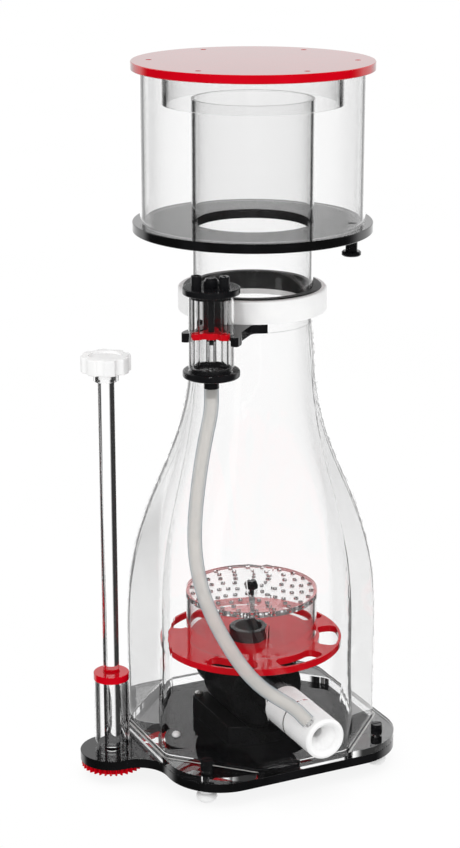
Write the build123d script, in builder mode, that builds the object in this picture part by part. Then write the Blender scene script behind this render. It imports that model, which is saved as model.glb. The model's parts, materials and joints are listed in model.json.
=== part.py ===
from build123d import *
import os
from math import acos, cos, pi, sin, sqrt, tan

# Protein skimmer: a clear bottle-shaped reaction body on a black base plate, a needle-wheel pump
# and bubble diffuser inside it, a collection cup on top, an air silencer on the neck and an
# outlet valve under the base that a long rod and a gear pair turn.
# Millimetres, +Z up, feet standing on z = 0. -Y is the side that the venturi nozzle sticks out of
# and -X is the side of the outlet adjuster. Everything is drawn about the reaction body's axis;
# the pieces are exported with the origin under the middle of the whole skimmer's plan outline.

fit_gap = 0.05            # radial clearance of a glued, pushed-on or running fit

# ---- base -------------------------------------------------------------------------------------
foot_radius = 9.0
foot_height = 14.5
plate_half = 106.0        # half the side of the square base
plate_corner = 48.0
plate_thick = 8.0
flange_thick = 6.0
screw_half_spacing = 82.0
screw_radius = 3.0
screw_head_radius = 5.0
screw_head_height = 9.0
seal_inradius = 102.2
seal_width = 1.8
seal_depth = 1.3

plate_bottom = foot_height
plate_top = plate_bottom + plate_thick
flange_top = plate_top + flange_thick

# ---- outlet adjuster and valve ----------------------------------------------------------------
gear_module = 1.5
pinion_teeth = 34
valve_teeth = 46
gear_thick = 5.5
gear_bottom = 8.5
gear_distance = gear_module * (pinion_teeth + valve_teeth) / 2
adjuster_x = -133.0
adjuster_y = 2.0
valve_x = adjuster_x + gear_distance
valve_y = adjuster_y
lobe_radius = 28.0
lobe_blend = 27.0
valve_pin_radius = 3.0
port_outer = 28.0         # outer radius of the crescent outlet port, about the valve pivot
port_inner = 23.3         # radius of its inner arc
port_offset = 10.0        # how far the inner arc's centre is from the pivot
guide_radius = 15.0
guide_wall = 3.0
guide_height = 66.0
collar_height = 6.0
rod_radius = 6.9
rod_stub_radius = 5.0
knob_bottom = 362.0
knob_height = 13.5
knob_radius = 20.8
knob_lobes = 8
hub_radius = 10.5
hub_height = 8.0

# ---- reaction body ----------------------------------------------------------------------------
wall = 3.0
neck_radius = 51.0
neck_top = 407.6
neck_straight = 392.0     # the neck is a true cylinder above this height
neck_step = 0.4           # and stands this much proud of the bottle's last section
ring_bottom = 402.5
ring_height = 19.0
ring_radius = 62.5
seal_ring_radius = 58.0
seal_ring_top = 422.6

# ---- collection cup ---------------------------------------------------------------------------
cup_radius = 93.7
cup_wall = 4.0
disc_radius = 100.0       # cup floor and lid
floor_bottom = 469.0
floor_thick = 7.8
cup_top = 601.5
lid_thick = 7.0
lid_collar_radius = 75.0
lid_collar_bottom = 574.0
vent_circle = 85.0
riser_top = 578.3
drain_x = 67.8
drain_y = -47.5
drain_radius = 5.0

# ---- pump and diffuser ------------------------------------------------------------------------
pump_x = -2.0
pump_z = 66.0             # height of the pump's horizontal axis, which runs along Y
volute_radius = 34.0
volute_front = -36.0
volute_rear = 17.0
volute_wall = 5.0
motor_radius = 28.0
motor_rear = 57.0
rotor_radius = 11.0
well_radius = 12.2
shaft_radius = 2.5
wheel_radius = 25.0
outlet_x = -3.5
outlet_y = -3.0
outlet_bore = 14.6
deck_radius = 78.7
deck_bottom = 100.3
deck_thick = 6.0
cup_wall_radius = 57.0
sieve_top = 149.4
sieve_thick = 5.0
nozzle_radius = 17.7
nozzle_front = -144.0
nozzle_rear = -106.0
adapter_rear = -67.0

# ---- silencer and hose ------------------------------------------------------------------------
silencer_distance = 98.9  # from the body's axis, towards the -X -Y corner
silencer_angle = -135.6
silencer_x = silencer_distance * cos(silencer_angle * pi / 180)
silencer_y = silencer_distance * sin(silencer_angle * pi / 180)
silencer_facing = -122.5  # the direction midway between its two air tubes
silencer_cap_radius = 23.2
silencer_radius = 18.55
silencer_bore = 16.5
silencer_bottom = 373.5
silencer_top = 435.7
silencer_cap_thick = 5.5
bottom_cap_thick = 6.0
throttle_radius = 2.5
throttle_plate_bottom = 399.6
throttle_plate_thick = 5.0
air_tube_circle = 12.4
air_tube_half_angle = 65.0
hose_radius = 6.0
hose_bore = 4.5
barb_radius = 4.4
barb_bore = 2.8
nipple_bottom = 358.0
barb_length = 8.0
air_tube_radius = 3.0
air_tube_bottom = 378.6
outlet_tube_radius = 4.2
outlet_tube_bore = 2.0
outlet_tube_top = 397.4

deck_top = deck_bottom + deck_thick
floor_top = floor_bottom + floor_thick
guide_top = plate_top + guide_height
screw_corners = [(sx * screw_half_spacing, sy * screw_half_spacing) for sx in (-1, 1) for sy in (-1, 1)]

finished = []


def keep(part, name):
    """Label a finished piece and remember it for export."""
    part.label = name
    finished.append(part)


def level(height, x=0.0, y=0.0):
    """Horizontal plane at a height, with its origin over the plan point x, y."""
    return Plane((x, y, height))


def pump_plane(y, x=pump_x, z=pump_z):
    """Plane across the pump's axis, looking along +Y: local x is world x, local y is world -z."""
    return Plane(origin=(x, y, z), x_dir=(1, 0, 0), z_dir=(0, 1, 0))


def octagon(inradius, corner):
    """Regular octagon with rounded corners, with flat sides towards +-X, +-Y and the diagonals."""
    RegularPolygon(inradius, 8, major_radius=False, rotation=22.5)
    fillet(vertices(), corner)


def base_outline():
    """Rounded square with the lobe that carries the outlet adjuster."""
    RectangleRounded(2 * plate_half, 2 * plate_half, plate_corner)
    with Locations((adjuster_x, adjuster_y)):
        Circle(lobe_radius)
    reach = sqrt(lobe_radius**2 - (adjuster_x + plate_half) ** 2)
    inner_corners = [v for v in vertices() if abs(v.X + plate_half) < 0.01 and abs(v.Y - adjuster_y) < reach + 0.1]
    fillet(inner_corners, lobe_blend)


def sector(radius, middle, half_angle, centre=(0, 0)):
    """Wedge of a circle about a centre, in degrees about a middle direction."""
    with BuildLine() as rim:
        PolarLine(centre, radius, middle - half_angle)
        arc = CenterArc(centre, radius, middle - half_angle, 2 * half_angle)
        Line(arc @ 1, centre)
    make_face(rim.edges())


def curved_slot(outer, inner, middle, half_angle, corner):
    """Slot between two radii that follows a circle about the origin, with rounded corners."""
    with BuildSketch() as slot:
        sector(outer, middle, half_angle)
        Circle(inner, mode=Mode.SUBTRACT)
        fillet(slot.vertices(), corner)
    return slot.sketch


# ================================================================================ base and valve
def port_outline():
    """Crescent outlet port about the valve pivot, wide at one end and running out to a point."""
    port_middle = 178.0
    port_half_angle = 83.0
    inner_direction = -40.0
    sector(port_outer, port_middle, port_half_angle)
    with Locations((port_offset * cos(inner_direction * pi / 180), port_offset * sin(inner_direction * pi / 180))):
        Circle(port_inner, mode=Mode.SUBTRACT)


foot_screw_places = [(pump_x - 33.0, 34.0), (pump_x + 33.0, 34.0)]

with BuildPart() as base_plate:
    with BuildSketch(level(plate_bottom)):
        base_outline()
    extrude(amount=plate_thick)
    chamfer(base_plate.edges().group_by(Axis.Z)[-1], 0.4)
    with BuildSketch(level(plate_top - seal_depth)):
        octagon(seal_inradius + seal_width, 15.0)
        RegularPolygon(seal_inradius, 8, major_radius=False, rotation=22.5, mode=Mode.SUBTRACT)
    extrude(amount=seal_depth, mode=Mode.SUBTRACT)
    with BuildSketch(level(plate_bottom, valve_x, valve_y)):
        port_outline()
        Circle(valve_pin_radius + fit_gap)
    extrude(amount=plate_thick, mode=Mode.SUBTRACT)
    with Locations((adjuster_x, adjuster_y, plate_top)):
        Hole(rod_stub_radius + fit_gap)
    with Locations([(x, y, plate_top) for x, y in screw_corners]):
        Hole(screw_radius + fit_gap)
    with Locations([(x, y, plate_top) for x, y in foot_screw_places]):
        Hole(2.0, depth=6.0)
keep(base_plate.part, "base_plate")

with BuildPart() as base_seal:
    with BuildSketch(level(plate_top - seal_depth)):
        octagon(seal_inradius + seal_width - fit_gap, 15.0)
        RegularPolygon(seal_inradius + fit_gap, 8, major_radius=False, rotation=22.5, mode=Mode.SUBTRACT)
    extrude(amount=seal_depth)
keep(base_seal.part, "base_seal")

with BuildPart() as feet:
    with BuildSketch(Plane.XZ):
        with BuildLine():
            Line((0, 0), (5.5, 0))
            ThreePointArc((5.5, 0), (foot_radius, 4.6), (6.6, 8.6))
            Line((6.6, 8.6), (6.0, foot_height))
            Line((6.0, foot_height), (0, foot_height))
            Line((0, foot_height), (0, 0))
        make_face()
    foot_body = revolve(axis=Axis.Z, mode=Mode.PRIVATE)
    with Locations([(x, y, 0) for x, y in screw_corners]):
        add(foot_body)
    with Locations([(x, y, foot_height) for x, y in screw_corners]):
        Hole(screw_radius + fit_gap, depth=8.6)
keep(feet.part, "feet")

with BuildPart() as thumb_screws:
    with BuildSketch(level(flange_top)):
        Circle(screw_head_radius)
        with PolarLocations(screw_head_radius + 0.1, 18):
            Circle(0.4, mode=Mode.SUBTRACT)
    screw_head = extrude(amount=screw_head_height, mode=Mode.PRIVATE)
    with BuildSketch(level(flange_top + screw_head_height - 2.0)):
        Rectangle(2 * screw_head_radius, 1.4)
    driver_slot = extrude(amount=3.0, mode=Mode.PRIVATE)
    with BuildSketch(level(foot_height - 8.0)):
        Circle(screw_radius)
    screw_shank = extrude(amount=flange_top - foot_height + 8.0, mode=Mode.PRIVATE)
    one_screw = (screw_head - driver_slot) + screw_shank
    with Locations([(x, y, 0) for x, y in screw_corners]):
        add(one_screw)
keep(thumb_screws.part, "thumb_screws")


def involute_point(base, radius, start_angle, side):
    """Point of an involute flank at a radius, with the flank starting at an angle on the base circle."""
    roll = acos(min(1.0, base / radius))
    angle = start_angle + side * (tan(roll) - roll)
    return (radius * cos(angle), radius * sin(angle))


def gear_outline(teeth, turn):
    """Spur gear outline: involute flanks thinned for running play, teeth counted from a turn angle."""
    pitch = gear_module * teeth / 2
    base = pitch * cos(20 * pi / 180)
    tip = pitch + gear_module
    root = pitch - 1.25 * gear_module
    play = 0.12
    half_tooth = (gear_module * pi / 4 - play) / pitch
    roll = acos(base / pitch)
    start_angle = half_tooth + tan(roll) - roll
    radii = [max(base, root) + k * (tip - max(base, root)) / 5 for k in range(6)]
    left = [involute_point(base, r, start_angle, -1) for r in radii]
    right = [(x, -y) for x, y in left]
    foot = 0.6 * gear_module
    outline = [(root - foot, left[0][1])] + left + right[::-1] + [(root - foot, right[0][1])]
    Circle(root)
    with PolarLocations(0, teeth, start_angle=turn):
        Polygon(*outline, align=None)


with BuildPart() as pinion_gear:
    with BuildSketch(level(gear_bottom, adjuster_x, adjuster_y)):
        gear_outline(pinion_teeth, 0.0)
        Circle(rod_stub_radius + 0.02, mode=Mode.SUBTRACT)
    extrude(amount=gear_thick)
keep(pinion_gear.part, "pinion_gear")

valve_windows = [curved_slot(port_outer + 1.0, 12.0, middle, half, 1.5) for middle, half in ((112, 34), (222, 42))]
with BuildPart() as valve_disc:
    with BuildSketch(level(gear_bottom, valve_x, valve_y)):
        gear_outline(valve_teeth, 180.0 / valve_teeth)
        Circle(valve_pin_radius + fit_gap, mode=Mode.SUBTRACT)
        for window in valve_windows:
            add(window, mode=Mode.SUBTRACT)
    extrude(amount=gear_thick)
keep(valve_disc.part, "valve_disc")

with BuildPart() as valve_pin:
    with BuildSketch(level(gear_bottom - 2.4, valve_x, valve_y)):
        Circle(5.0)
    extrude(amount=2.2)
    with BuildSketch(level(gear_bottom - 0.2, valve_x, valve_y)):
        Circle(valve_pin_radius)
    extrude(amount=plate_top - gear_bottom + 0.2)
    with BuildSketch(level(plate_top, valve_x, valve_y)):
        Circle(4.6)
    extrude(amount=3.0)
    fillet(valve_pin.edges().sort_by(Axis.Z)[-1], 2.4)
keep(valve_pin.part, "valve_pin")

with BuildPart() as guide_tube:
    with BuildSketch(level(plate_top, adjuster_x, adjuster_y)):
        Circle(guide_radius)
        Circle(guide_radius - guide_wall, mode=Mode.SUBTRACT)
    extrude(amount=guide_height)
keep(guide_tube.part, "guide_tube")

with BuildPart() as guide_collar:
    with BuildSketch(level(guide_top, adjuster_x, adjuster_y)):
        Circle(guide_radius + 0.3)
        Circle(rod_radius + 0.06, mode=Mode.SUBTRACT)
    extrude(amount=collar_height)
    chamfer(guide_collar.edges().group_by(Axis.Z)[-1], 0.5)
keep(guide_collar.part, "guide_collar")

with BuildPart() as adjuster_rod:
    with BuildSketch(level(gear_bottom, adjuster_x, adjuster_y)):
        Circle(rod_stub_radius)
    extrude(amount=plate_top - gear_bottom + 0.1)
    with BuildSketch(level(plate_top + 0.1, adjuster_x, adjuster_y)):
        Circle(rod_radius)
    extrude(amount=knob_bottom + 8.0 - plate_top - 0.1)
    chamfer(adjuster_rod.edges().sort_by(Axis.Z)[-1], 0.6)
keep(adjuster_rod.part, "adjuster_rod")

with BuildPart() as adjuster_hub:
    with BuildSketch(level(knob_bottom - hub_height, adjuster_x, adjuster_y)):
        Circle(hub_radius)
        Circle(rod_radius + 0.02, mode=Mode.SUBTRACT)
    extrude(amount=hub_height)
keep(adjuster_hub.part, "adjuster_hub")

with BuildPart() as adjuster_knob:
    with BuildSketch(level(knob_bottom, adjuster_x, adjuster_y)):
        Circle(knob_radius)
        with PolarLocations(knob_radius + 2.2, knob_lobes, start_angle=10.0):
            Circle(4.6, mode=Mode.SUBTRACT)
        fillet(vertices(), 1.6)
    extrude(amount=knob_height)
    fillet(adjuster_knob.edges().group_by(Axis.Z)[-1], 1.2)
    chamfer(adjuster_knob.edges().group_by(Axis.Z)[0], 0.6)
    with BuildSketch(level(knob_bottom + knob_height, adjuster_x, adjuster_y)):
        Circle(14.0)
    extrude(amount=-2.0, mode=Mode.SUBTRACT)
    with BuildSketch(level(knob_bottom, adjuster_x, adjuster_y)):
        Circle(rod_radius + 0.02)
    extrude(amount=8.1, mode=Mode.SUBTRACT)
keep(adjuster_knob.part, "adjuster_knob")

# ============================================================================== reaction body
# Silhouette of the bottle: height, largest radius there, and how round the section is
# (corner radius over inradius: a crisp octagon at the base, nearly a circle at the neck).
body_profile = [
    (flange_top, 109.0, 0.13),
    (105.0, 109.3, 0.13),
    (153.0, 107.9, 0.18),
    (200.0, 100.0, 0.32),
    (250.0, 82.4, 0.52),
    (296.0, 64.6, 0.78),
    (340.0, 55.3, 0.92),
    (neck_straight, neck_radius - neck_step, 0.96),
]


def body_solid(inset):
    """Loft of the bottle's sections, each drawn in from the outside by an inset."""
    with BuildPart() as bottle:
        for height, largest, roundness in body_profile:
            inradius = largest / (1.0824 - 0.0824 * roundness)
            with BuildSketch(level(height)):
                octagon(inradius - inset, roundness * inradius - inset)
        loft()
    return bottle.part


body_outer = body_solid(0.0)
body_inner = body_solid(wall)
foot_inradius = body_profile[0][1] / (1.0824 - 0.0824 * body_profile[0][2])
foot_corner = body_profile[0][2] * foot_inradius
nozzle_opening = nozzle_radius + 0.5

with BuildPart() as body_shell:
    add(body_outer)
    add(body_inner, mode=Mode.SUBTRACT)
    with BuildSketch(level(neck_straight)):
        Circle(neck_radius)
        Circle(neck_radius - wall, mode=Mode.SUBTRACT)
    extrude(amount=neck_top - neck_straight)
    with BuildSketch(pump_plane(-60.0)):
        Circle(nozzle_opening)
    extrude(amount=-60.0, mode=Mode.SUBTRACT)
keep(body_shell.part, "body_shell")

with BuildPart() as body_flange:
    with BuildSketch(level(plate_top)):
        RectangleRounded(2 * plate_half, 2 * plate_half, plate_corner)
    extrude(amount=flange_thick)
    with BuildSketch(level(plate_top)):
        octagon(foot_inradius - wall, foot_corner - wall)
    extrude(amount=flange_thick, mode=Mode.SUBTRACT)
    with Locations([(x, y, flange_top) for x, y in screw_corners]):
        Hole(screw_radius + fit_gap)
keep(body_flange.part, "body_flange")

with BuildPart() as neck_ring:
    with BuildSketch(level(ring_bottom)):
        Circle(ring_radius)
        Circle(neck_radius + fit_gap, mode=Mode.SUBTRACT)
    extrude(amount=ring_height)
    fillet(neck_ring.edges().group_by(Axis.Z)[-1].sort_by(SortBy.LENGTH)[-1], 2.0)
    with BuildSketch(level(neck_top)):
        Circle(seal_ring_radius)
    extrude(amount=ring_height, mode=Mode.SUBTRACT)
keep(neck_ring.part, "neck_ring")

with BuildPart() as neck_seal:
    with BuildSketch(level(neck_top)):
        Circle(seal_ring_radius - fit_gap)
        Circle(neck_radius + fit_gap, mode=Mode.SUBTRACT)
    extrude(amount=seal_ring_top - neck_top)
    chamfer(neck_seal.edges().group_by(Axis.Z)[-1], 0.8)
keep(neck_seal.part, "neck_seal")

# ============================================================================= collection cup
with BuildPart() as riser_tube:
    with BuildSketch(level(neck_top)):
        Circle(neck_radius)
        Circle(neck_radius - wall, mode=Mode.SUBTRACT)
    extrude(amount=riser_top - neck_top)
keep(riser_tube.part, "riser_tube")

with BuildPart() as cup_floor:
    with BuildSketch(level(floor_bottom)):
        Circle(disc_radius)
        Circle(neck_radius + fit_gap, mode=Mode.SUBTRACT)
        with Locations((drain_x, drain_y)):
            Circle(drain_radius + fit_gap, mode=Mode.SUBTRACT)
    extrude(amount=floor_thick)
    chamfer(cup_floor.edges().filter_by(GeomType.CIRCLE).filter_by(lambda e: e.radius > 90), 0.5)
keep(cup_floor.part, "cup_floor")

with BuildPart() as cup_tube:
    with BuildSketch(level(floor_top)):
        Circle(cup_radius)
        Circle(cup_radius - cup_wall, mode=Mode.SUBTRACT)
    extrude(amount=cup_top - floor_top)
keep(cup_tube.part, "cup_tube")

drain_bore = 3.6
drain_stub_bottom = 451.2
with BuildPart() as drain_fitting:
    with BuildSketch(level(drain_stub_bottom, drain_x, drain_y)):
        Circle(drain_radius)
        Circle(drain_bore, mode=Mode.SUBTRACT)
    extrude(amount=floor_top - drain_stub_bottom)
keep(drain_fitting.part, "drain_fitting")

drain_cap_radius = 8.1
drain_cap_bottom = 449.5
drain_cap_height = 4.2
with BuildPart() as drain_cap:
    with BuildSketch(level(drain_cap_bottom, drain_x, drain_y)):
        Circle(drain_cap_radius)
    extrude(amount=drain_cap_height)
    chamfer(drain_cap.edges(), 0.9)
    with BuildSketch(level(drain_stub_bottom - 0.1, drain_x, drain_y)):
        Circle(drain_radius + fit_gap)
    extrude(amount=drain_cap_height, mode=Mode.SUBTRACT)
keep(drain_cap.part, "drain_cap")

with BuildPart() as lid:
    with BuildSketch(level(cup_top)):
        Circle(disc_radius)
        with PolarLocations(vent_circle, 6, start_angle=33.5):
            Circle(2.5, mode=Mode.SUBTRACT)
    extrude(amount=lid_thick)
    chamfer(lid.edges().filter_by(GeomType.CIRCLE).filter_by(lambda e: e.radius > 90), 0.5)
keep(lid.part, "lid")

with BuildPart() as lid_collar:
    with BuildSketch(level(lid_collar_bottom)):
        Circle(lid_collar_radius)
        Circle(lid_collar_radius - cup_wall, mode=Mode.SUBTRACT)
    extrude(amount=cup_top - lid_collar_bottom)
keep(lid_collar.part, "lid_collar")

# ================================================================================== pump
ear_angles = (-170.0, -50.0, -130.0, -10.0)
ear_circle = 36.0
ear_radius = 5.0
ear_thick = 12.0
motor_flange_thick = 5.0
intake_radius = 15.0
spigot_radius = 12.9
intake_bore = 10.5

with BuildPart() as pump_volute:
    with BuildSketch(pump_plane(volute_front)):
        Circle(volute_radius)
    extrude(amount=volute_rear - volute_front)
    fillet(pump_volute.edges().sort_by(Axis.Y)[0], 4.0)
    with BuildSketch(pump_plane(volute_rear - ear_thick)):
        with Locations([(ear_circle * cos(a * pi / 180), ear_circle * sin(a * pi / 180)) for a in ear_angles]):
            Circle(ear_radius)
    extrude(amount=ear_thick)
    with BuildSketch(pump_plane(adapter_rear)):
        Circle(intake_radius)
    extrude(amount=volute_front - adapter_rear + 1.0)
    with BuildSketch(pump_plane(adapter_rear - 13.0)):
        Circle(spigot_radius)
    extrude(amount=13.0)
    with BuildSketch(level(pump_z, outlet_x, outlet_y)):
        Circle(19.0)
    extrude(amount=deck_bottom - pump_z)
    with BuildSketch(pump_plane(volute_front + volute_wall)):
        Circle(volute_radius - volute_wall)
    extrude(amount=volute_rear - volute_front, mode=Mode.SUBTRACT)
    with BuildSketch(pump_plane(adapter_rear - 13.0)):
        Circle(intake_bore)
    extrude(amount=60.0, mode=Mode.SUBTRACT)
    with BuildSketch(level(pump_z, outlet_x, outlet_y)):
        Circle(12.0)
    extrude(amount=deck_bottom - pump_z, mode=Mode.SUBTRACT)
    with BuildSketch(level(deck_bottom, outlet_x, outlet_y)):
        Circle(outlet_bore)
    extrude(amount=-8.0, mode=Mode.SUBTRACT)
    with BuildSketch(pump_plane(volute_rear)):
        with Locations([(ear_circle * cos(a * pi / 180), ear_circle * sin(a * pi / 180)) for a in ear_angles]):
            Circle(2.0)
    extrude(amount=-10.0, mode=Mode.SUBTRACT)
keep(pump_volute.part, "pump_volute")

with BuildPart() as volute_seal:
    with BuildSketch(pump_plane(volute_rear + 0.05)):
        Circle(32.4)
        Circle(30.4, mode=Mode.SUBTRACT)
    extrude(amount=1.3)
keep(volute_seal.part, "volute_seal")

with BuildPart() as motor_housing:
    with BuildSketch(pump_plane(volute_rear)):
        Circle(volute_radius)
        with Locations([(ear_circle * cos(a * pi / 180), ear_circle * sin(a * pi / 180)) for a in ear_angles]):
            Circle(ear_radius)
    extrude(amount=motor_flange_thick)
    with BuildSketch(pump_plane(volute_rear + motor_flange_thick)):
        Circle(motor_radius)
    extrude(amount=motor_rear - volute_rear - motor_flange_thick)
    fillet(motor_housing.edges().sort_by(Axis.Y)[-1], 5.0)
    with BuildSketch(pump_plane(volute_rear)):
        Circle(32.5)
        Circle(30.3, mode=Mode.SUBTRACT)
    extrude(amount=1.4, mode=Mode.SUBTRACT)
    with BuildSketch(pump_plane(volute_rear)):
        Circle(well_radius)
    extrude(amount=34.0, mode=Mode.SUBTRACT)
    with BuildSketch(pump_plane(volute_rear)):
        with Locations([(ear_circle * cos(a * pi / 180), ear_circle * sin(a * pi / 180)) for a in ear_angles]):
            Circle(2.0)
    extrude(amount=motor_flange_thick, mode=Mode.SUBTRACT)
keep(motor_housing.part, "motor_housing")

with BuildPart() as pump_screws:
    with BuildSketch(pump_plane(volute_rear - 9.0)):
        with Locations([(ear_circle * cos(a * pi / 180), ear_circle * sin(a * pi / 180)) for a in ear_angles]):
            Circle(1.9)
    extrude(amount=9.0 + motor_flange_thick)
    with BuildSketch(pump_plane(volute_rear + motor_flange_thick)):
        with Locations([(ear_circle * cos(a * pi / 180), ear_circle * sin(a * pi / 180)) for a in ear_angles]):
            Circle(3.4)
            RegularPolygon(1.6, 6, mode=Mode.SUBTRACT)
    extrude(amount=3.0)
    with BuildSketch(pump_plane(volute_rear + motor_flange_thick)):
        with Locations([(ear_circle * cos(a * pi / 180), ear_circle * sin(a * pi / 180)) for a in ear_angles]):
            Circle(3.4)
    extrude(amount=1.0)
keep(pump_screws.part, "pump_screws")

bearing_front = volute_rear - 4.0
with BuildPart() as bearing_plate:
    with BuildSketch(pump_plane(bearing_front)):
        Circle(volute_radius - volute_wall - fit_gap)
        Circle(shaft_radius + fit_gap, mode=Mode.SUBTRACT)
        with PolarLocations(9.0, 6):
            Circle(1.5, mode=Mode.SUBTRACT)
    extrude(amount=4.0)
keep(bearing_plate.part, "bearing_plate")

with BuildPart() as rear_bearing:
    with BuildSketch(pump_plane(volute_rear + 29.0)):
        Circle(well_radius - fit_gap)
        Circle(shaft_radius + fit_gap, mode=Mode.SUBTRACT)
    extrude(amount=5.0)
keep(rear_bearing.part, "rear_bearing")

with BuildPart() as impeller_shaft:
    with BuildSketch(pump_plane(-14.0)):
        Circle(shaft_radius)
    extrude(amount=volute_rear + 33.0 + 14.0)
keep(impeller_shaft.part, "impeller_shaft")

with BuildPart() as rotor_magnet:
    with BuildSketch(pump_plane(volute_rear + 1.0)):
        Circle(rotor_radius)
        Circle(shaft_radius + 0.02, mode=Mode.SUBTRACT)
    extrude(amount=27.0)
    chamfer(rotor_magnet.edges().filter_by(GeomType.CIRCLE).filter_by(lambda e: e.radius > 8), 0.6)
keep(rotor_magnet.part, "rotor_magnet")

with BuildPart() as needle_wheel:
    with BuildSketch(pump_plane(-7.0)):
        Circle(wheel_radius)
    extrude(amount=3.0)
    with BuildSketch(pump_plane(-20.0)):
        Circle(5.5)
    extrude(amount=25.0)
    with BuildSketch(pump_plane(-24.0)):
        for ring_index, needles in enumerate((8, 14, 20)):
            with PolarLocations(10.0 + 6.2 * ring_index, needles):
                Circle(1.1)
    extrude(amount=18.0)
    with BuildSketch(pump_plane(-14.0)):
        Circle(shaft_radius + 0.02)
    extrude(amount=20.0, mode=Mode.SUBTRACT)
keep(needle_wheel.part, "needle_wheel")

foot_top = 40.0
foot_front = -37.0
foot_rear = 40.0
foot_half = 38.0
with BuildPart() as pump_foot:
    with BuildSketch(level(plate_top)):
        with BuildLine():
            front = ThreePointArc(
                (pump_x - foot_half, foot_front), (pump_x, foot_front - 10.0), (pump_x + foot_half, foot_front))
            Polyline(front @ 1, (pump_x + foot_half, foot_rear), (pump_x - foot_half, foot_rear), front @ 0)
        make_face()
        fillet(vertices(), 5.0)
    extrude(amount=foot_top - plate_top)
    fillet(pump_foot.edges().group_by(Axis.Z)[-1], 1.0)
    with BuildSketch(pump_plane(-60.0)):
        Circle(volute_radius + 0.2)
    extrude(amount=120.0, mode=Mode.SUBTRACT)
    with Locations([(x, y, foot_top) for x, y in foot_screw_places]):
        Hole(2.05)
keep(pump_foot.part, "pump_foot")

with BuildPart() as foot_screws:
    for x, y in foot_screw_places:
        with BuildSketch(level(plate_top - 5.5, x, y)):
            Circle(1.95)
        extrude(amount=foot_top - plate_top + 5.5)
        with BuildSketch(level(foot_top, x, y)):
            Circle(4.0)
        extrude(amount=2.2)
        with BuildSketch(level(foot_top + 2.2, x, y)):
            Circle(4.0)
            Rectangle(8.0, 1.0, rotation=35.0, mode=Mode.SUBTRACT)
        extrude(amount=1.2)
keep(foot_screws.part, "foot_screws")

# ============================================================================== diffuser
union_radius = 17.3
union_top = deck_top + 10.2
with BuildPart() as outlet_union:
    with BuildSketch(level(deck_top, outlet_x, outlet_y)):
        Circle(union_radius)
    extrude(amount=union_top - deck_top)
    chamfer(outlet_union.edges().group_by(Axis.Z)[-1], 0.8)
    with BuildSketch(level(deck_bottom - 7.8, outlet_x, outlet_y)):
        Circle(outlet_bore - fit_gap)
    extrude(amount=deck_top - deck_bottom + 7.8)
    with BuildSketch(level(deck_bottom - 7.8, outlet_x, outlet_y)):
        Circle(12.4)
    extrude(amount=union_top, mode=Mode.SUBTRACT)
    with BuildSketch(level(deck_bottom, outlet_x, outlet_y)):
        with Locations((0, -outlet_y)):
            Rectangle(26.4, 5.0)
    extrude(amount=5.0)
    with Locations((0, 0, deck_bottom + 5.0)):
        Hole(2.05, depth=5.0)
keep(outlet_union.part, "outlet_union")

slot_outer = 76.3
slot_inner = 59.5
slot_half_angle = 18.3
slot_corner = 6.0
slot_first = -130.0
slot_step = 51.0          # leaves one wider gap, on the adjuster's side
slot_middles = [slot_first + slot_step * k for k in range(6)]
deck_slots = [curved_slot(slot_outer, slot_inner, middle, slot_half_angle, slot_corner) for middle in slot_middles]
with BuildPart() as bubble_deck:
    with BuildSketch(level(deck_bottom)):
        Circle(deck_radius)
        with Locations((outlet_x, outlet_y)):
            Circle(outlet_bore + 0.1, mode=Mode.SUBTRACT)
        for slot in deck_slots:
            add(slot, mode=Mode.SUBTRACT)
    extrude(amount=deck_thick)
    chamfer(bubble_deck.edges().filter_by(GeomType.CIRCLE).filter_by(lambda e: e.radius > 77), 0.4)
keep(bubble_deck.part, "bubble_deck")

with BuildPart() as diffuser_wall:
    with BuildSketch(level(deck_top)):
        Circle(cup_wall_radius)
        Circle(cup_wall_radius - 3.0, mode=Mode.SUBTRACT)
    extrude(amount=sieve_top - sieve_thick - deck_top)
keep(diffuser_wall.part, "diffuser_wall")

sieve_rings = ((52.0, 22), (44.0, 18), (36.0, 14), (28.0, 11), (20.0, 8), (12.0, 5))
with BuildPart() as diffuser_sieve:
    with BuildSketch(level(sieve_top - sieve_thick)):
        Circle(cup_wall_radius + 0.3)
        for ring_radius_mm, holes in sieve_rings:
            with PolarLocations(ring_radius_mm, holes, start_angle=ring_radius_mm):
                Circle(2.0, mode=Mode.SUBTRACT)
        Circle(2.1, mode=Mode.SUBTRACT)
    extrude(amount=sieve_thick)
keep(diffuser_sieve.part, "diffuser_sieve")

with BuildPart() as diffuser_bolt:
    with BuildSketch(level(sieve_top)):
        RegularPolygon(5.2, 12)
    extrude(amount=6.6)
    chamfer(diffuser_bolt.edges().group_by(Axis.Z)[-1], 1.2)
    with BuildSketch(level(deck_bottom)):
        Circle(2.0)
    extrude(amount=sieve_top - deck_bottom)
keep(diffuser_bolt.part, "diffuser_bolt")

# ====================================================================== venturi and air inlet
with BuildPart() as intake_adapter:
    with BuildSketch(pump_plane(nozzle_rear)):
        Circle(nozzle_radius)
    extrude(amount=adapter_rear - nozzle_rear)
    fillet(intake_adapter.edges().sort_by(Axis.Y)[-1], 1.0)
    with BuildSketch(pump_plane(nozzle_rear)):
        Circle(10.5)
    extrude(amount=adapter_rear - nozzle_rear, mode=Mode.SUBTRACT)
    with BuildSketch(pump_plane(adapter_rear)):
        Circle(spigot_radius + fit_gap)
    extrude(amount=-13.1, mode=Mode.SUBTRACT)
    with BuildSketch(pump_plane(nozzle_rear)):
        Circle(14.0)
    extrude(amount=8.0, mode=Mode.SUBTRACT)
keep(intake_adapter.part, "intake_adapter")

# The air hose reaches the nozzle from above and behind; this is where its end sits and its heading.
hose_end = Vector(-13.4, -133.9, 80.2)
hose_heading = Vector(0.51, -0.56, -0.653).normalized()
hose_pocket = Plane(origin=hose_end, z_dir=hose_heading)

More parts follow.
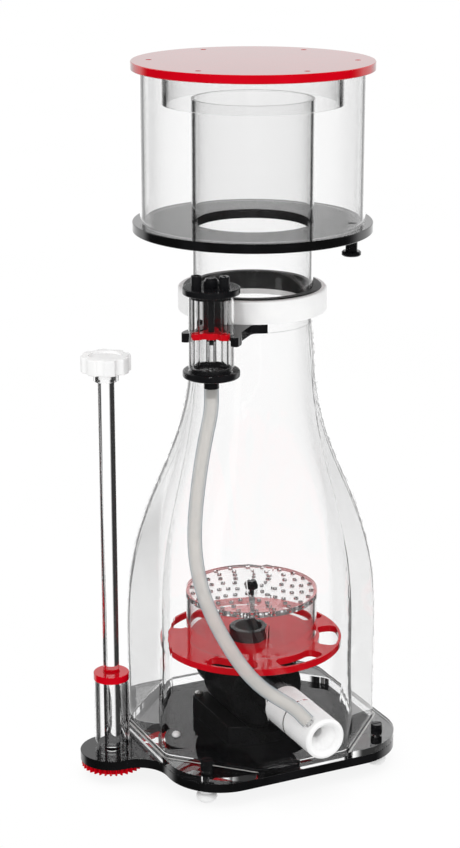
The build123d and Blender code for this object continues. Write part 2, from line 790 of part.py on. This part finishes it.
throat_radius = 5.2
throat_front = -127.0
throat_rear = -118.0
with BuildPart() as venturi_nozzle:
    with BuildSketch(Plane.XY):
        with BuildLine():
            Polyline(
                (throat_radius, throat_front), (throat_radius, throat_rear), (10.5, nozzle_rear + 8.0),
                (13.9, nozzle_rear + 8.0), (13.9, nozzle_rear), (nozzle_radius, nozzle_rear),
                (nozzle_radius, nozzle_front + 2.6))
            RadiusArc((nozzle_radius, nozzle_front + 2.6), (nozzle_radius - 2.6, nozzle_front), 2.6)
            ThreePointArc((nozzle_radius - 2.6, nozzle_front), (12.6, nozzle_front + 1.3), (11.0, nozzle_front + 5.0))
            Line((11.0, nozzle_front + 5.0), (throat_radius, throat_front))
        make_face()
    revolve(axis=Axis.Y)
nozzle_body = Pos(pump_x, 0, pump_z) * venturi_nozzle.part

with BuildPart() as venturi_nozzle:
    add(nozzle_body)
    with BuildSketch(hose_pocket):
        Circle(hose_radius + 0.1)
    extrude(amount=-12.0, mode=Mode.SUBTRACT)
    with BuildSketch(hose_pocket):
        Circle(barb_radius + fit_gap)
    extrude(amount=3.4, mode=Mode.SUBTRACT)
    port_start = hose_end + hose_heading * 2.0
    port_target = Vector(pump_x, port_start.Y + 8.0, pump_z)
    with BuildSketch(Plane(origin=port_start, z_dir=port_target - port_start)):
        Circle(1.8)
    extrude(amount=(port_target - port_start).length, mode=Mode.SUBTRACT)
keep(venturi_nozzle.part, "venturi_nozzle")

with BuildPart() as hose_barb:
    with BuildSketch(hose_pocket.offset(3.3)):
        Circle(barb_radius)
        Circle(barb_bore, mode=Mode.SUBTRACT)
    extrude(amount=-11.0)
keep(hose_barb.part, "hose_barb")

# Air hose: a hanging curve from the silencer's nipple, outside the body, round to the nozzle.
# Both ends run straight over their barbs.
hose_start = Vector(silencer_x, silencer_y, nipple_bottom)
hose_lead = 10.0
hose_bends = [
    (-75.0, -69.5, 321.0),
    (-83.3, -69.2, 272.0),
    (-87.7, -73.5, 223.0),
    (-83.0, -86.5, 179.0),
    (-69.5, -100.5, 143.5),
    (-42.5, -116.0, 106.0),
]
with BuildPart() as air_hose:
    with BuildLine() as hose_line:
        lead_in = Line(hose_start, hose_start - Vector(0, 0, hose_lead))
        lead_out = Line(hose_end - hose_heading * hose_lead, hose_end)
        Spline(lead_in @ 1, *hose_bends, lead_out @ 0, tangents=[(0, 0, -1), hose_heading])
    with BuildSketch(Plane(origin=hose_start, z_dir=(0, 0, -1))):
        Circle(hose_radius)
        Circle(hose_bore, mode=Mode.SUBTRACT)
    sweep(path=hose_line.wires()[0])
keep(air_hose.part, "air_hose")

# ============================================================================== silencer
stub_radius = 4.2
stub_bore = 2.0
stub_height = 10.0
spigot_wall = 2.4
tube_angles = (silencer_facing - air_tube_half_angle, silencer_facing + air_tube_half_angle)
tube_places = [(air_tube_circle * cos(a * pi / 180), air_tube_circle * sin(a * pi / 180)) for a in tube_angles]
cap_top = silencer_top + silencer_cap_thick
spigot_gap_radius = silencer_bore - 0.1

with BuildPart() as silencer_top_cap:
    with BuildSketch(level(silencer_top, silencer_x, silencer_y)):
        Circle(silencer_cap_radius)
    extrude(amount=silencer_cap_thick)
    fillet(silencer_top_cap.edges(), 1.2)
    with BuildSketch(level(silencer_top, silencer_x, silencer_y)):
        Circle(spigot_gap_radius)
        Circle(silencer_bore - spigot_wall, mode=Mode.SUBTRACT)
        with Locations(tube_places):
            Circle(air_tube_radius + fit_gap, mode=Mode.SUBTRACT)
    extrude(amount=-3.0)
    with BuildSketch(level(cap_top, silencer_x, silencer_y)):
        with Locations(tube_places):
            Circle(stub_radius)
    extrude(amount=stub_height)
    fillet(silencer_top_cap.edges().group_by(Axis.Z)[-1], 0.6)
    with BuildSketch(level(silencer_top, silencer_x, silencer_y)):
        with Locations(tube_places):
            Circle(stub_bore)
        Circle(throttle_radius + fit_gap)
    extrude(amount=silencer_cap_thick + stub_height, mode=Mode.SUBTRACT)
keep(silencer_top_cap.part, "silencer_top_cap")

with BuildPart() as silencer_cylinder:
    with BuildSketch(level(silencer_bottom, silencer_x, silencer_y)):
        Circle(silencer_radius)
        Circle(silencer_bore, mode=Mode.SUBTRACT)
    extrude(amount=silencer_top - silencer_bottom)
keep(silencer_cylinder.part, "silencer_cylinder")

nipple_radius = 6.2
bottom_cap_bottom = silencer_bottom - bottom_cap_thick
with BuildPart() as silencer_bottom_cap:
    with BuildSketch(level(bottom_cap_bottom, silencer_x, silencer_y)):
        Circle(silencer_cap_radius)
    extrude(amount=bottom_cap_thick)
    fillet(silencer_bottom_cap.edges(), 1.6)
    with BuildSketch(level(silencer_bottom, silencer_x, silencer_y)):
        Circle(spigot_gap_radius)
        Circle(silencer_bore - spigot_wall, mode=Mode.SUBTRACT)
    extrude(amount=2.5)
    with BuildSketch(level(bottom_cap_bottom, silencer_x, silencer_y)):
        Circle(nipple_radius)
    extrude(amount=nipple_bottom - bottom_cap_bottom)
    with BuildSketch(level(nipple_bottom, silencer_x, silencer_y)):
        Circle(barb_radius)
    extrude(amount=-barb_length)
    with BuildSketch(level(nipple_bottom - barb_length, silencer_x, silencer_y)):
        Circle(barb_bore)
    extrude(amount=silencer_bottom - nipple_bottom + barb_length, mode=Mode.SUBTRACT)
keep(silencer_bottom_cap.part, "silencer_bottom_cap")

with BuildPart() as air_tubes:
    with BuildSketch(level(air_tube_bottom, silencer_x, silencer_y)):
        with Locations(tube_places):
            Circle(air_tube_radius)
            Circle(air_tube_radius - 1.0, mode=Mode.SUBTRACT)
    extrude(amount=silencer_top - air_tube_bottom)
keep(air_tubes.part, "air_tubes")

with BuildPart() as outlet_tube:
    with BuildSketch(level(silencer_bottom, silencer_x, silencer_y)):
        Circle(outlet_tube_radius)
        Circle(outlet_tube_bore, mode=Mode.SUBTRACT)
    extrude(amount=outlet_tube_top - silencer_bottom)
keep(outlet_tube.part, "outlet_tube")

screw_tip_radius = 1.65
screw_tip_bottom = 394.0
screw_tip_top = 398.6
throttle_head_radius = 6.2
throttle_head_height = 7.0
with BuildPart() as throttle_screw:
    with BuildSketch(level(cap_top + 0.2, silencer_x, silencer_y)):
        Circle(throttle_head_radius)
        with PolarLocations(throttle_head_radius + 0.1, 16):
            Circle(0.5, mode=Mode.SUBTRACT)
    extrude(amount=throttle_head_height - 2.4)
    with BuildSketch(level(cap_top + throttle_head_height - 2.2, silencer_x, silencer_y)):
        Circle(throttle_head_radius - 0.5)
    extrude(amount=2.4, taper=32.0)
    with BuildSketch(level(cap_top + throttle_head_height - 1.4, silencer_x, silencer_y)):
        Rectangle(2.5 * throttle_head_radius, 1.4, rotation=-60.0)
    extrude(amount=3.0, mode=Mode.SUBTRACT)
    with BuildSketch(level(screw_tip_bottom, silencer_x, silencer_y)):
        Circle(screw_tip_radius)
    extrude(amount=screw_tip_top - screw_tip_bottom)
    with BuildSketch(level(screw_tip_top, silencer_x, silencer_y)):
        Circle(throttle_radius)
    extrude(amount=cap_top + 0.2 - screw_tip_top)
keep(throttle_screw.part, "throttle_screw")

lobe_circle = 11.6
plate_lobe_radius = 4.6
plate_hub_radius = 7.4
lobe_angles = (*tube_angles, silencer_facing + 180.0)
lobe_places = [(lobe_circle * cos(a * pi / 180), lobe_circle * sin(a * pi / 180)) for a in lobe_angles]
with BuildPart() as throttle_plate:
    with BuildSketch(level(throttle_plate_bottom, silencer_x, silencer_y)):
        Circle(plate_hub_radius)
        with Locations(lobe_places):
            Circle(plate_lobe_radius)
        fillet(vertices(), 1.6)
        Circle(throttle_radius + fit_gap, mode=Mode.SUBTRACT)
        with Locations(tube_places):
            Circle(air_tube_radius + fit_gap, mode=Mode.SUBTRACT)
    extrude(amount=throttle_plate_thick)
keep(throttle_plate.part, "throttle_plate")

# The bracket is one plate under the neck ring: two arms round the neck, a web, and a clip open
# towards the outside. Its plane has local x pointing from the body's axis to the silencer's.
clip_bottom = 395.0
clip_outer = silencer_radius + 5.9
clip_half_angle = 104.0
arm_half_angle = 31.0
arm_outer = ring_radius - 0.5
arm_inner = 52.4
web_half_width = 20.5
web_start = 56.0
web_end = 87.0
back_pad_turn = 17.6      # how far the pad that backs the cylinder is turned from the web
back_pad_half_angle = 24.0
back_pad_thick = 3.0
back_pad_height = 36.0
bracket_plane = Plane(origin=(0, 0, clip_bottom), x_dir=(silencer_x, silencer_y, 0), z_dir=(0, 0, 1))


def is_web_corner(corner):
    """True for the four corners where the web's straight sides run into the clip and the arms."""
    return abs(abs(corner.Y) - web_half_width) < 0.01


def is_clip_tip(corner):
    """True for the outer corners of the clip's two open ends."""
    reach = sqrt((corner.X - silencer_distance) ** 2 + corner.Y**2)
    return abs(reach - clip_outer) < 0.01 and corner.X > silencer_distance


with BuildPart() as silencer_bracket:
    with BuildSketch(bracket_plane) as bracket_plan:
        sector(clip_outer, 180.0, clip_half_angle, (silencer_distance, 0))
        sector(arm_outer, 0.0, arm_half_angle)
        with Locations(((web_start + web_end) / 2, 0)):
            Rectangle(web_end - web_start, 2 * web_half_width)
        fillet([corner for corner in vertices() if is_web_corner(corner)], 7.0)
        fillet([corner for corner in vertices() if is_clip_tip(corner)], 2.5)
        Circle(arm_inner, mode=Mode.SUBTRACT)
    extrude(amount=ring_bottom - clip_bottom)
    with BuildSketch(bracket_plane):
        pad_middle = 180.0 + back_pad_turn
        sector(silencer_radius + back_pad_thick, pad_middle, back_pad_half_angle, (silencer_distance, 0))
    extrude(amount=back_pad_height)
    with BuildSketch(bracket_plane):
        with Locations((silencer_distance, 0)):
            Circle(silencer_radius + fit_gap)
    extrude(amount=back_pad_height, mode=Mode.SUBTRACT)
keep(silencer_bracket.part, "silencer_bracket")

os.makedirs("parts", exist_ok=True)
outline_middle_x = (adjuster_x - lobe_radius + plate_half) / 2
outline_middle_y = (nozzle_front + plate_half) / 2
for piece in finished:
    centred = Pos(-outline_middle_x, -outline_middle_y, 0) * piece
    centred.label = piece.label
    export_step(centred, "parts/" + piece.label + ".step")
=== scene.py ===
import json
import math

import bpy
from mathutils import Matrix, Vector


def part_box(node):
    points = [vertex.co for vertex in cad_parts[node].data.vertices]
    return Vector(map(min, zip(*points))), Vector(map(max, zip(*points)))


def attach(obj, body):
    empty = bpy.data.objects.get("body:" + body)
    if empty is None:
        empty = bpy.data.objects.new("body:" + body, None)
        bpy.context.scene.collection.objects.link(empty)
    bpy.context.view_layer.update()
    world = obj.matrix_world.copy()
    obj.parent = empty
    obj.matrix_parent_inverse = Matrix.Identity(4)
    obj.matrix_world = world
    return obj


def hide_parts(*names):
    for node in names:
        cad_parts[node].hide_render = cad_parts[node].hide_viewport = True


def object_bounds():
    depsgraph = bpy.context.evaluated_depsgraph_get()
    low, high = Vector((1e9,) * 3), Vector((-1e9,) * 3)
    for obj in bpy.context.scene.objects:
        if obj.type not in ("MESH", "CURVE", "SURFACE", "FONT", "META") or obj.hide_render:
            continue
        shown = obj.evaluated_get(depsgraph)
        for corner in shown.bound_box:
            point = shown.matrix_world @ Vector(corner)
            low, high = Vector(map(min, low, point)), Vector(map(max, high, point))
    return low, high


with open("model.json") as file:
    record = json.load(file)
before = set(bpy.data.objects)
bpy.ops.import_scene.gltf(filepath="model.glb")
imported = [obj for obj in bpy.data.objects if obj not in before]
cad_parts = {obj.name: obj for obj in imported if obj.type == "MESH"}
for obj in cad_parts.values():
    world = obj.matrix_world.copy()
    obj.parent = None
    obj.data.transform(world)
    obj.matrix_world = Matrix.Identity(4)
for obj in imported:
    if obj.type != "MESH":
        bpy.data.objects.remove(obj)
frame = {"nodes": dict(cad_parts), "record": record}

# Protein skimmer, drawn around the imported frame. Metres, +Z up, feet on z = 0. -Y is the side the
# venturi nozzle sticks out of and -X the side of the outlet adjuster.

cad_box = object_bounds()
nodes = frame["nodes"]
MM = 0.001


def middle_of(node):
    """Middle of a CAD node's box."""
    low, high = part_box(node)
    return (low + high) / 2


def body_names():
    """The CAD body that each node belongs to, from the record."""
    names = {}
    for body, members in frame["record"]["behaviour"]["bodies"].items():
        for member in members:
            names[member] = body
    return names


def node_slots():
    """Material slot of each CAD node, from the record."""
    slots = {}
    for part in frame["record"]["subparts"]:
        slots[part["node"]] = part["material_slot"]
    return slots


BODY_OF = body_names()
SLOT_OF = node_slots()
AXIS = middle_of("neck_ring")        # on the reaction body's vertical axis


# ============================================================================ shader helpers
class Graph:
    """Adds shader nodes to a node tree: settings go to inputs by name, else to the node itself."""

    def __init__(self, tree):
        self.tree = tree
        tree.nodes.clear()

    def add(self, kind, **settings):
        node = self.tree.nodes.new("ShaderNode" + kind)
        for key, value in settings.items():
            label = key.replace("_", " ")
            target = node.inputs.get(label)
            if target is None:
                setattr(node, key, value)
            else:
                self.feed(target, value)
        return node

    def link(self, source, target):
        self.tree.links.new(source, target)

    def feed(self, socket, value):
        """Links a socket's value to an input, or sets the input to a plain value."""
        if isinstance(value, bpy.types.NodeSocket):
            self.link(value, socket)
        else:
            socket.default_value = value

    def math(self, operation, a, b=0.0, clamp=False):
        node = self.add("Math", operation=operation, use_clamp=clamp)
        self.feed(node.inputs[0], a)
        self.feed(node.inputs[1], b)
        return node.outputs[0]

    def mix_shaders(self, share, first, second):
        """Mix of two shaders, with a share of the second."""
        node = self.add("MixShader")
        self.feed(node.inputs[0], share)
        self.link(first, node.inputs[1])
        self.link(second, node.inputs[2])
        return node.outputs[0]

    def ramp(self, value, start, end, low=0.0, high=1.0):
        """Smooth step of a value from low to high between start and end."""
        node = self.add("MapRange", interpolation_type="SMOOTHSTEP", Value=value)
        for label, number in (("From Min", start), ("From Max", end), ("To Min", low), ("To Max", high)):
            node.inputs[label].default_value = number
        return node.outputs["Result"]

    def noise(self, scale, detail=2.0, stretch=(1.0, 1.0, 1.0)):
        """Noise in object space, so that it stays put when the piece moves."""
        place = self.add("TexCoord").outputs["Object"]
        mapped = self.add("Mapping", Vector=place, Scale=stretch).outputs[0]
        return self.add("TexNoise", Vector=mapped, Scale=scale, Detail=detail).outputs["Fac"]

    def bump(self, height, distance, strength=1.0):
        return self.add("Bump", Height=height, Distance=distance, Strength=strength).outputs[0]

    def cloudy(self, scale, detail, dark, light):
        """Colour that drifts between two tones in soft clouds, and the clouds themselves."""
        cloud = self.noise(scale, detail)
        share = self.ramp(cloud, 0.3, 0.7)
        return self.add("MixRGB", Fac=share, Color1=dark, Color2=light).outputs[0], cloud


def material(name):
    made = bpy.data.materials.new(name)
    made.use_nodes = True
    graph = Graph(made.node_tree)
    return made, graph


def finish_material(graph, surface):
    output = graph.add("OutputMaterial")
    graph.link(surface, output.inputs["Surface"])


def see_through(graph, surface, tint):
    """Lets shadow rays and soft light straight through a clear piece, tinted, in place of caustics."""
    path = graph.add("LightPath")
    straight = graph.math("MAXIMUM", path.outputs["Is Shadow Ray"], path.outputs["Is Diffuse Ray"])
    clear = graph.add("BsdfTransparent", Color=tint)
    return graph.mix_shaders(straight, surface, clear.outputs[0])


def facing_away(graph):
    """0 where a surface is seen square on, 1 where it is seen edge on."""
    return graph.add("LayerWeight", Blend=0.5).outputs["Facing"]


def acrylic(name, colour, shadow):
    """Clear cast or drawn acrylic: polished, with a trace of haze and a faint drawn waviness."""
    made, g = material(name)
    haze = g.ramp(g.noise(420.0, 3.0, (1.0, 1.0, 0.12)), 0.60, 0.85, 0.0, 0.012)
    normal = g.bump(g.noise(60.0, 1.0, (1.0, 1.0, 0.3)), 0.0004 * MM)
    body = g.add("BsdfPrincipled", Base_Color=colour, Roughness=haze, IOR=1.49, Normal=normal)
    body.inputs["Transmission Weight"].default_value = 1.0
    finish_material(g, see_through(g, body.outputs[0], shadow))
    return made


def glossy_sheet(name, dark, light, roughness, grazing=1.0):
    """Coloured cast acrylic sheet: polished, with cloudy wipe marks and faint scratches. Its colour falls
    to a share of itself at grazing views, as painted shade on faces seen edge on."""
    made, g = material(name)
    tone, cloud = g.cloudy(35.0, 4.0, dark, light)
    scratches = g.noise(900.0, 2.0, (1.0, 0.04, 1.0))
    # Painted shade: the colour is darkened by the given share where the sheet is seen edge on.
    shade = g.add("VectorMath", operation="SCALE", Vector=tone)
    g.link(g.ramp(facing_away(g), 0.66, 0.90, 1.0, grazing), shade.inputs["Scale"])
    rough = g.math("ADD", g.ramp(cloud, 0.35, 0.8, roughness, roughness * 2.2),
                   g.ramp(scratches, 0.6, 0.75, 0.0, 0.03))
    normal = g.bump(scratches, 0.01 * MM, 0.3)
    body = g.add("BsdfPrincipled", Base_Color=shade.outputs[0], Roughness=rough, IOR=1.49, Normal=normal)
    finish_material(g, body.outputs[0])
    return made


def moulded(name, dark, light, roughness, grain, grain_depth):
    """Moulded or turned plastic and rubber: fine grain, uneven gloss and a slight tone drift."""
    made, g = material(name)
    tone, _ = g.cloudy(60.0, 3.0, dark, light)
    fine = g.noise(grain, 4.0)
    rough = g.ramp(fine, 0.3, 0.7, roughness * 0.85, roughness * 1.15)
    normal = g.bump(fine, grain_depth)
    body = g.add("BsdfPrincipled", Base_Color=tone, Roughness=rough, IOR=1.5, Normal=normal)
    finish_material(g, body.outputs[0])
    return made


def metal(name, colour, roughness):
    """Bare metal with fine brush marks."""
    made, g = material(name)
    brushed = g.noise(1500.0, 2.0, (1.0, 1.0, 0.1))
    rough = g.ramp(brushed, 0.3, 0.7, roughness * 0.7, roughness * 1.3)
    body = g.add("BsdfPrincipled", Base_Color=colour, Roughness=rough, Metallic=1.0,
                 Normal=g.bump(brushed, 0.01 * MM))
    finish_material(g, body.outputs[0])
    return made


def hose_silicone(name):
    """Milky, half see-through silicone: warm white where it is seen square on, with painted cool grey
    shade at its edges and faint random clouds of that grey.
    """
    warm_white = (0.98, 0.95, 0.90, 1)
    # Painted shade colour for the hose's edges.
    painted_edge_shade_grey = (0.46, 0.53, 0.58, 1)
    made, g = material(name)
    away = facing_away(g)
    cloud = g.ramp(g.noise(70.0, 3.0), 0.3, 0.7, 0.0, 0.12)
    # Painted shade: the colour turns cool grey where the hose is seen edge on; the clouds add a little of
    # it at random.
    edge = g.math("ADD", g.ramp(away, 0.15, 0.80), cloud, clamp=True)
    tone = g.add("MixRGB", Fac=edge, Color1=warm_white, Color2=painted_edge_shade_grey).outputs[0]
    normal = g.bump(g.noise(240.0, 3.0), 0.06 * MM)
    skin = g.add("BsdfPrincipled", Base_Color=tone, Roughness=0.25, IOR=1.41, Normal=normal)
    glow = g.add("BsdfTranslucent", Color=tone)
    milk = g.mix_shaders(0.35, skin.outputs[0], glow.outputs[0])
    clear = g.add("BsdfTransparent", Color=(0.97, 0.97, 0.97, 1))
    wall = g.mix_shaders(g.ramp(away, 0.1, 0.75, 0.55, 0.20), milk, clear.outputs[0])
    finish_material(g, see_through(g, wall, (0.75, 0.75, 0.75, 1)))
    return made


def grey(value):
    return (value, value, value, 1)


MATERIALS = {
    "clear_acrylic": acrylic("clear_acrylic", grey(0.998), grey(0.985)),
    # The red sheet's colour falls to 0.45 of itself where it is seen edge on: painted shade.
    "red_acrylic": glossy_sheet("red_acrylic", (0.55, 0.0, 0.006, 1), (0.61, 0.0, 0.009, 1), 0.012, 0.45),
    "black_acrylic": glossy_sheet("black_acrylic", grey(0.004), (0.008, 0.008, 0.009, 1), 0.015),
    "white_plastic": moulded("white_plastic", grey(0.90), (0.94, 0.94, 0.935, 1), 0.30, 1800.0, 0.02 * MM),
    "black_rubber": moulded("black_rubber", grey(0.012), grey(0.02), 0.50, 1200.0, 0.04 * MM),
    "clear_silicone": moulded("clear_silicone", (0.45, 0.45, 0.44, 1), (0.6, 0.6, 0.58, 1),
                              0.4, 900.0, 0.03 * MM),
    "silicone_hose": hose_silicone("silicone_hose"),
    "black_plastic": moulded("black_plastic", (0.006, 0.006, 0.007, 1), (0.011, 0.011, 0.012, 1),
                             0.14, 2200.0, 0.01 * MM),
    "pump_black": moulded("pump_black", grey(0.004), (0.008, 0.008, 0.009, 1), 0.30, 1500.0, 0.03 * MM),
    "screw_steel": metal("screw_steel", (0.62, 0.61, 0.59, 1), 0.28),
    "shaft_ceramic": moulded("shaft_ceramic", (0.78, 0.76, 0.70, 1), (0.86, 0.84, 0.79, 1),
                             0.2, 2500.0, 0.01 * MM),
    "magnet_jacket": moulded("magnet_jacket", (0.02, 0.022, 0.03, 1), (0.035, 0.037, 0.045, 1),
                             0.35, 1500.0, 0.02 * MM),
}


# ============================================================================ pieces
INSET = 0.03 * MM      # how far clear faces are drawn in from the faces they touch
GLUE = 0.08 * MM       # how far a clear end runs into the coloured sheet it is glued to
LEAST_LEAN = 0.4       # keeps the corners of thin edges from being drawn in too far

GLUED_ENDS = {
    "lid_collar": ("top",),
    "cup_tube": ("bottom",),
    "diffuser_wall": ("bottom",),
    "guide_tube": ("bottom",),
}


def corner_faces(mesh):
    """The different face directions that meet at each place, since sharp edges split the vertices."""
    faces = {}
    for polygon in mesh.polygons:
        facing = tuple(round(c, 2) for c in polygon.normal)
        for index in polygon.vertices:
            faces.setdefault(place_of(mesh.vertices[index]), {})[facing] = polygon.normal.copy()
    return faces


def place_of(vertex):
    return tuple(round(c, 6) for c in vertex.co)


def draw_in(mesh, inset):
    """Moves every face of a mesh inwards by an inset."""
    faces_at = corner_faces(mesh)
    for vertex in mesh.vertices:
        faces = list(faces_at.get(place_of(vertex), {}).values())
        if faces:
            way = sum(faces, Vector()).normalized()
            lean = max(LEAST_LEAN, sum(way.dot(face) for face in faces) / len(faces))
            vertex.co -= way * (inset / lean)


def run_into_sheet(mesh, ends):
    """Lengthens a mesh at its glued ends."""
    low = min(vertex.co.z for vertex in mesh.vertices)
    high = max(vertex.co.z for vertex in mesh.vertices)
    for vertex in mesh.vertices:
        if "top" in ends and vertex.co.z > high - GLUE:
            vertex.co.z += GLUE
        if "bottom" in ends and vertex.co.z < low + GLUE:
            vertex.co.z -= GLUE


def clear_piece(node):
    """Stand-in for a clear CAD node that is drawn in a little, so that touching faces do not coincide.
    Glued ends run into the coloured sheet instead, so that its colour shows through them."""
    mesh = nodes[node].data.copy()
    draw_in(mesh, INSET)
    run_into_sheet(mesh, GLUED_ENDS.get(node, ()))
    slot = SLOT_OF[node]
    mesh.materials.clear()
    mesh.materials.append(MATERIALS[slot])
    made = bpy.data.objects.new("skin_" + node, mesh)
    bpy.context.scene.collection.objects.link(made)
    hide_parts(node)
    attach(made, BODY_OF[node])


def build_pieces():
    """Gives every CAD piece its material and swaps the clear ones for their stand-ins."""
    for name, thing in nodes.items():
        thing.data.materials.clear()
        thing.data.materials.append(MATERIALS[SLOT_OF[name]])
    for name in nodes:
        if SLOT_OF[name] == "clear_acrylic":
            clear_piece(name)


# ============================================================================ stage and light
# The viewer stands on the nozzle's and the adjuster's side and looks down a little. Angles in degrees.
CAMERA_FROM_AXIS = (-0.7391, -1.4954)
CAMERA_HEIGHT = 0.8037
CAMERA_DIP = 16.818
CAMERA_TURN = -25.655
CAMERA_LENS = 86.41     # mm, on a 36 mm sensor

# Strengths of the bright field; the distances are sines of the angle from the view direction.
FIELD_WHITE = 1.12
FIELD_DARK = 0.035
FIELD_BEHIND = 0.03
FIELD_MIDDLE = 0.04
FIELD_HALF = 0.28       # rays bent by clear parts find white this far sideways
MIRROR_HALF = 0.78      # mirrored rays find white this far sideways
FIELD_FADE = 0.16

FLOOR_HALF = 60.0
FLOOR_SOFT = 0.75       # strength of the floor for soft light
FLOOR_PAINTED_SHADOW = 0.88    # brightness of the painted shadow on the floor where the feet touch it
# reach of the painted shadow around the object
PAINTED_SHADOW_REACH = 0.06


def build_camera():
    data = bpy.data.cameras.new("camera")
    data.lens = CAMERA_LENS
    data.sensor_width = 36.0
    camera = bpy.data.objects.new("camera", data)
    camera.location = (AXIS.x + CAMERA_FROM_AXIS[0], AXIS.y + CAMERA_FROM_AXIS[1], CAMERA_HEIGHT)
    camera.rotation_euler = (math.radians(90 - CAMERA_DIP), 0.0, math.radians(CAMERA_TURN))
    bpy.context.scene.collection.objects.link(camera)
    bpy.context.scene.camera = camera


def bright_field(g, direction):
    """Strength of the studio for rays bent by clear parts or mirrored by glossy ones.

    It is white beyond the object as the viewer sees it and dark to both sides, which draws the edges
    of clear parts."""
    turned = g.add("VectorTransform", vector_type="VECTOR", convert_from="WORLD", convert_to="CAMERA",
                   Vector=direction).outputs[0]
    parts = g.add("SeparateXYZ", Vector=turned)
    sideways = g.math("ABSOLUTE", g.math("SUBTRACT", parts.outputs["X"], FIELD_MIDDLE))
    path = g.add("LightPath")
    bent = path.outputs["Is Transmission Ray"]
    mirrored = g.math("SUBTRACT", path.outputs["Is Glossy Ray"], bent, clamp=True)
    past = g.math("SUBTRACT", sideways, g.math("MULTIPLY", mirrored, MIRROR_HALF - FIELD_HALF))
    white = g.ramp(past, FIELD_HALF, FIELD_HALF + FIELD_FADE, 1.0, 0.0)
    ahead = g.ramp(parts.outputs["Z"], 0.0, 0.35)
    behind = g.ramp(parts.outputs["Z"], -0.35, -0.75, 0.0, FIELD_BEHIND)
    lit = g.math("MAXIMUM", g.math("MULTIPLY", white, ahead), behind)
    return g.math("ADD", g.math("MULTIPLY", lit, FIELD_WHITE - FIELD_DARK), FIELD_DARK)


def pick(g, share, low, high):
    """Value between low and high by a share."""
    node = g.add("Mix", data_type="FLOAT")
    for socket, value in zip(node.inputs[:4], (share, None, low, high)):
        if value is not None:
            g.feed(socket, value)
    return node.outputs[0]


def by_ray(g, camera, diffuse, other):
    """Strength for rays from the camera, from soft surfaces, and all others."""
    path = g.add("LightPath")
    unseen = pick(g, path.outputs["Is Diffuse Ray"], other, diffuse)
    return pick(g, path.outputs["Is Camera Ray"], unseen, camera)


def build_world():
    """White for the viewer, softly lit from the horizon, and a bright field for clear parts."""
    world = bpy.data.worlds.new("studio")
    bpy.context.scene.world = world
    world.use_nodes = True
    world.cycles.sampling_method = "NONE"
    g = Graph(world.node_tree)
    ray = g.add("TexCoord").outputs["Generated"]
    light = g.add("Background", Color=grey(1))
    height = g.add("SeparateXYZ", Vector=ray).outputs["Z"]
    soft = g.ramp(height, 0.15, 0.95, 0.92, 0.38)
    g.link(by_ray(g, 1.0, soft, bright_field(g, ray)), light.inputs["Strength"])
    output = g.add("OutputWorld")
    g.link(light.outputs[0], output.inputs["Surface"])


def build_floor():
    """Pale floor that shines by itself, with a painted shadow that makes it a little darker where the
    object touches it.
    """
    corners = [(x * FLOOR_HALF, y * FLOOR_HALF, 0) for x, y in ((-1, -1), (1, -1), (1, 1), (-1, 1))]
    mesh = bpy.data.meshes.new("floor")
    mesh.from_pydata(corners, [], [(0, 1, 2, 3)])
    floor = bpy.data.objects.new("floor", mesh)
    bpy.context.scene.collection.objects.link(floor)
    made, g = material("pale_floor")
    incoming = g.add("NewGeometry").outputs["Incoming"]
    onward = g.add("VectorMath", operation="SCALE", Vector=incoming)
    onward.inputs["Scale"].default_value = -1.0
    # Painted shadow: ambient occlusion darkens the floor's own glow near the object.
    painted_shadow = g.add("AmbientOcclusion", samples=12, Distance=PAINTED_SHADOW_REACH).outputs["AO"]
    mottled = g.ramp(g.noise(3.0, 2.0), 0.2, 0.8, 0.998, 1.004)
    shown = g.math("MULTIPLY", g.ramp(painted_shadow, 0.0, 0.9, FLOOR_PAINTED_SHADOW, 1.0), mottled)
    glow = g.add("Emission", Strength=1.0)
    g.link(by_ray(g, shown, FLOOR_SOFT, bright_field(g, onward.outputs[0])), glow.inputs["Strength"])
    finish_material(g, glow.outputs[0])
    floor.data.materials.append(made)


def softbox(name, place, target, width, height, watts, mirrored=False):
    """Area light; only a mirrored one shows in glossy surfaces, and none shows through clear parts."""
    data = bpy.data.lights.new(name, "AREA")
    data.shape = "RECTANGLE"
    data.size = width
    data.size_y = height
    data.energy = watts
    light = bpy.data.objects.new(name, data)
    light.location = place
    light.rotation_euler = (Vector(target) - Vector(place)).to_track_quat("-Z", "Y").to_euler()
    light.visible_camera = False
    light.visible_transmission = False
    light.visible_glossy = mirrored
    bpy.context.scene.collection.objects.link(light)


def build_lights():
    """Three large soft lights, and a small one that leaves highlights on glossy parts."""
    middle = (cad_box[0] + cad_box[1]) / 2
    softbox("key", (-1.3, -1.9, 1.5), middle, 1.4, 1.4, 18)
    softbox("fill", (1.6, -1.3, 1.0), middle, 1.0, 1.6, 9)
    softbox("top", (0.0, 0.0, 2.2), middle, 1.6, 1.6, 8)
    softbox("spot", (-0.9, -1.5, 1.9), middle, 0.16, 0.16, 8.0, mirrored=True)


def build_render_settings():
    scene = bpy.context.scene
    scene.view_settings.view_transform = "Standard"
    scene.cycles.max_bounces = 40
    scene.cycles.transmission_bounces = 40
    scene.cycles.glossy_bounces = 10
    scene.cycles.diffuse_bounces = 3
    scene.cycles.transparent_max_bounces = 40
    scene.cycles.caustics_reflective = False
    scene.cycles.caustics_refractive = False


build_pieces()
build_camera()
build_world()
build_floor()
build_lights()
build_render_settings()
